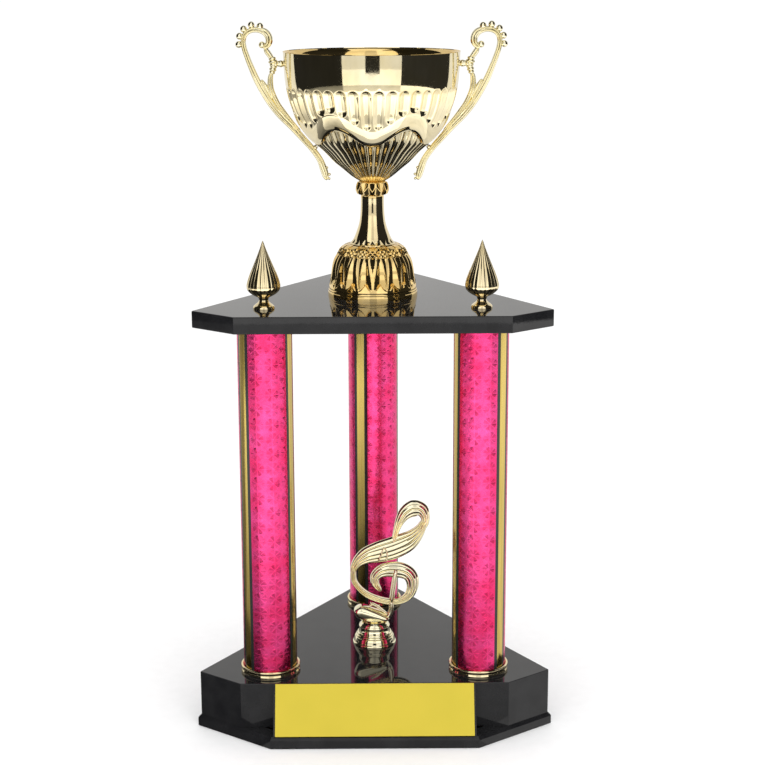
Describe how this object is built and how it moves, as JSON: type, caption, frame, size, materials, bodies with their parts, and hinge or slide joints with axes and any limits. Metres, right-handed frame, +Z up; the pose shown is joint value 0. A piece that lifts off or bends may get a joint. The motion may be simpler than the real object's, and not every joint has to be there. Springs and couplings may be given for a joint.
{
  "type": "column trophy",
  "caption": "Trophy with a weighted corner-cut base, upright columns, a top plate with finials, a fluted two-handled cup and a treble-clef figure.",
  "frame": {"origin": "centre of the footprint, on the ground", "axes": "+Z up, the nameplate side faces -Y, +X to the viewer's right"},
  "size_m": [0.3004, 0.254, 0.5836],
  "materials": {
    "black_lacquer": "high-gloss black lacquer",
    "column_foil": "hot pink prismatic foil with black and gold stripes",
    "gold_plated": "vacuum-metallised champagne gold",
    "deep_gold_plated": "vacuum-metallised deep gold",
    "gold_bowl": "mirror-bright gold lacquer",
    "nameplate": "satin yellow-gold anodised",
    "steel": "zinc-plated",
    "fibreboard": "bare hardboard",
    "cast_weight": "as cast",
    "plug_plastic": "moulded"
  },
  "bodies": {
    "root": {"base_plinth": "black_lacquer", "base_box": "black_lacquer", "nameplate_wedge": "black_lacquer", "top_plate": "black_lacquer", "nameplate": "nameplate", "base_bottom_cover": "fibreboard", "base_weight": "cast_weight", "cover_screw_1": "steel", "cover_screw_2": "steel", "cover_screw_3": "steel", "cover_screw_4": "steel", "column_left": "column_foil", "column_ring_left": "gold_plated", "column_plug_left": "plug_plastic", "tie_rod_left": "steel", "rod_washer_left": "steel", "rod_nut_left": "steel", "finial_left": "gold_plated", "column_right": "column_foil", "column_ring_right": "gold_plated", "column_plug_right": "plug_plastic", "tie_rod_right": "steel", "rod_washer_right": "steel", "rod_nut_right": "steel", "finial_right": "gold_plated", "column_back": "column_foil", "column_ring_back": "gold_plated", "column_plug_back": "plug_plastic", "tie_rod_back": "steel", "rod_washer_back": "steel", "rod_nut_back": "steel", "finial_back": "gold_plated", "cup_foot": "deep_gold_plated", "cup_stem": "gold_plated", "cup_collar": "gold_plated", "cup_bowl": "gold_bowl", "cup_handle_left": "gold_plated", "handle_screw_upper_left": "steel", "handle_screw_lower_left": "steel", "cup_handle_right": "gold_plated", "handle_screw_upper_right": "steel", "handle_screw_lower_right": "steel", "cup_stud": "steel", "cup_cap_washer": "steel", "cup_cap_nut": "steel", "cup_washer": "steel", "cup_nut": "steel", "figure_stud": "steel", "figure_washer": "steel", "figure_nut": "steel", "figure_pedestal": "gold_plated", "figure_clef": "gold_plated"}
  },
  "joints": []
}
